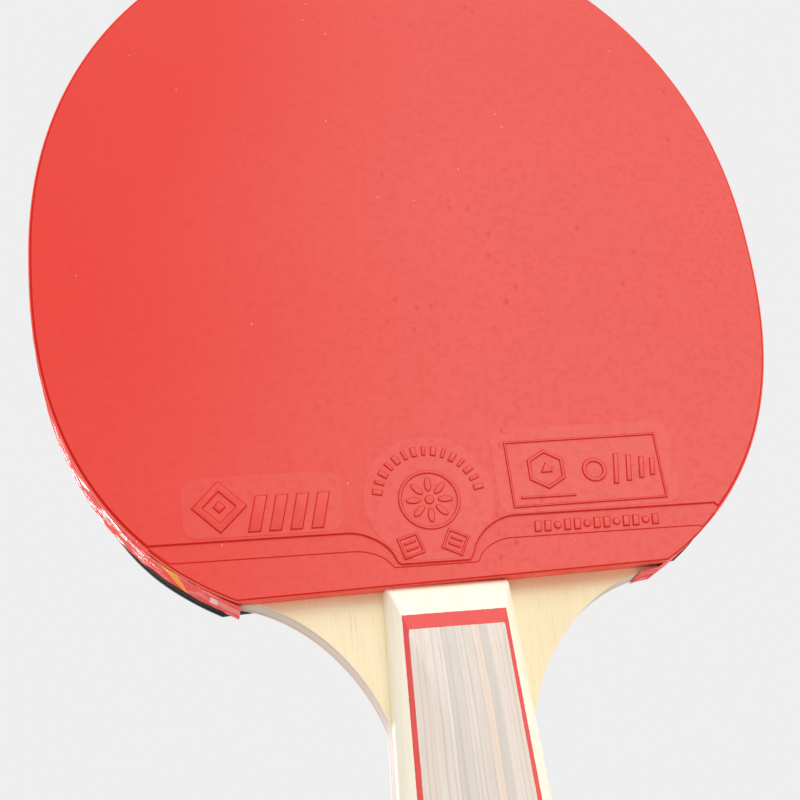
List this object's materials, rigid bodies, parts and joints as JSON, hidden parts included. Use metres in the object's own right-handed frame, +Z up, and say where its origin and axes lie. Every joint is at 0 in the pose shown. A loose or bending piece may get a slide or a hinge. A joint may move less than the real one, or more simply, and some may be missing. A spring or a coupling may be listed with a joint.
{
  "type": "table tennis paddle",
  "caption": "Table tennis paddle with an oval laminated wooden head, a red and a black rubber face, taped edge and a flared, veneered straight-sided handle.",
  "frame": {"origin": "on the centre line, in the middle of the blade's thickness, where the rubbers' straight edge meets the upper end of the handle and a hand closes round the neck", "axes": "+Z up from the butt of the handle to the tip of the head, -Y out of the red front rubber, +X to the right when the front rubber is looked at"},
  "size_m": [0.1504, 0.021, 0.2573],
  "materials": {
    "outer_ply": "lightly sealed, fine straight grain",
    "inner_ply": "dyed, end grain showing at the edge",
    "core_ply": "soft light core, end grain showing at the edge",
    "sponge": "cut foam, fine open cells",
    "red_topsheet": "satin, faintly dotted by the pimples beneath",
    "black_topsheet": "satin, faintly dotted by the pimples beneath",
    "edge_tape": "glossy, slightly wrinkled film",
    "scale_wood": "sanded pale wood, fine grain",
    "red_veneer": "dyed thin veneer",
    "striped_veneer": "laminated strips in grey-brown shades"
  },
  "bodies": {
    "root": {"ply_outer_front": "outer_ply", "ply_inner_front": "inner_ply", "ply_core": "core_ply", "ply_inner_back": "inner_ply", "ply_outer_back": "outer_ply", "sponge_front": "sponge", "topsheet_front": "red_topsheet", "sponge_back": "sponge", "topsheet_back": "black_topsheet", "edge_tape": "edge_tape", "scale_base_front": "scale_wood", "middle_veneer_front": "red_veneer", "top_veneer_front": "striped_veneer", "scale_base_back": "scale_wood", "middle_veneer_back": "red_veneer", "top_veneer_back": "striped_veneer"}
  },
  "joints": []
}
